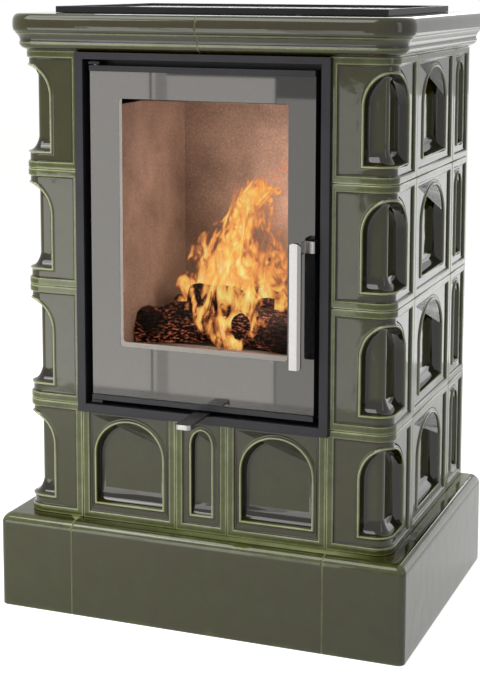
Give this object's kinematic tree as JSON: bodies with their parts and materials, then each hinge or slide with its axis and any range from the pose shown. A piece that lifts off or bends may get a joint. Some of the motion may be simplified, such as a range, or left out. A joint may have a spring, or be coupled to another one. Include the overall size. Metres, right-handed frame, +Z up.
{
  "type": "tiled stove",
  "caption": "Freestanding wood stove clad in glazed relief tiles, with plinth, cornice, hinged glass door, turning latch handle and sliding air control.",
  "frame": {"origin": "on the floor, under the middle of the overall width and depth", "axes": "+Z up, -Y out of the door's face, +X to the right of someone facing the door's hinge-left front"},
  "size_m": [0.798, 0.648, 1.14],
  "materials": {
    "glaze": "glossy olive-green glaze, thin and pale on edges and dark where it pools",
    "black_steel": "satin heat-resistant grey-black paint",
    "stainless": "brushed stainless steel",
    "printed_glass": "glossy heat-resistant glass with a printed dark border",
    "rope": "woven glass-fibre rope",
    "vermiculite": "matt pressed vermiculite",
    "cast_iron": "raw casting",
    "galvanised": "galvanised sheet"
  },
  "bodies": {
    "stove": {"plinth_corner_right": "glaze", "plinth_corner_left": "glaze", "plinth_front": "glaze", "tile_corner_right_1": "glaze", "tile_corner_left_1": "glaze", "tile_side_right_full_1": "glaze", "tile_side_right_half_1": "glaze", "tile_side_left_full_1": "glaze", "tile_side_left_half_1": "glaze", "tile_corner_right_2": "glaze", "tile_corner_left_2": "glaze", "tile_side_right_full_2": "glaze", "tile_side_right_half_2": "glaze", "tile_side_left_full_2": "glaze", "tile_side_left_half_2": "glaze", "tile_corner_right_3": "glaze", "tile_corner_left_3": "glaze", "tile_side_right_full_3": "glaze", "tile_side_right_half_3": "glaze", "tile_side_left_full_3": "glaze", "tile_side_left_half_3": "glaze", "tile_corner_right_4": "glaze", "tile_corner_left_4": "glaze", "tile_side_right_full_4": "glaze", "tile_side_right_half_4": "glaze", "tile_side_left_full_4": "glaze", "tile_side_left_half_4": "glaze", "tile_front_left": "glaze", "tile_front_middle": "glaze", "tile_front_right": "glaze", "cornice_right": "glaze", "cornice_left": "glaze", "surround_frame": "black_steel", "firebox_shell": "black_steel", "base_frame": "black_steel", "flue_spigot": "black_steel", "back_panel": "black_steel", "top_frame": "black_steel", "top_grille": "black_steel", "hinge_pin_bottom": "stainless", "hinge_pin_top": "stainless", "latch_keeper": "stainless", "lining_right": "vermiculite", "lining_left": "vermiculite", "lining_back": "vermiculite", "hearth_floor": "vermiculite", "baffle": "vermiculite", "grate": "cast_iron", "ash_pan": "galvanised", "air_duct": "galvanised"},
    "door": {"door_frame": "black_steel", "door_glass": "printed_glass", "door_strip_bottom": "black_steel", "door_strip_top": "black_steel", "door_seal": "rope"},
    "handle": {"handle_arm": "stainless", "handle_bar": "stainless", "latch_spindle": "stainless"},
    "air_control": {"air_control": "stainless"}
  },
  "joints": [
    {"name": "door_hinge", "type": "hinge", "parent": "stove", "child": "door", "pos_m": [-0.21, -0.219, 0.724], "axis": [0, 0, -1], "range_deg": [0, 105]},
    {"name": "handle_turn", "type": "hinge", "parent": "door", "child": "handle", "pos_m": [0.213, -0.22, 0.7285], "axis": [0, 0, 1], "range_deg": [0, 18]},
    {"name": "air_slide", "type": "slide", "parent": "stove", "child": "air_control", "axis": [0, 1, 0], "range_m": [0, 0.046]}
  ]
}
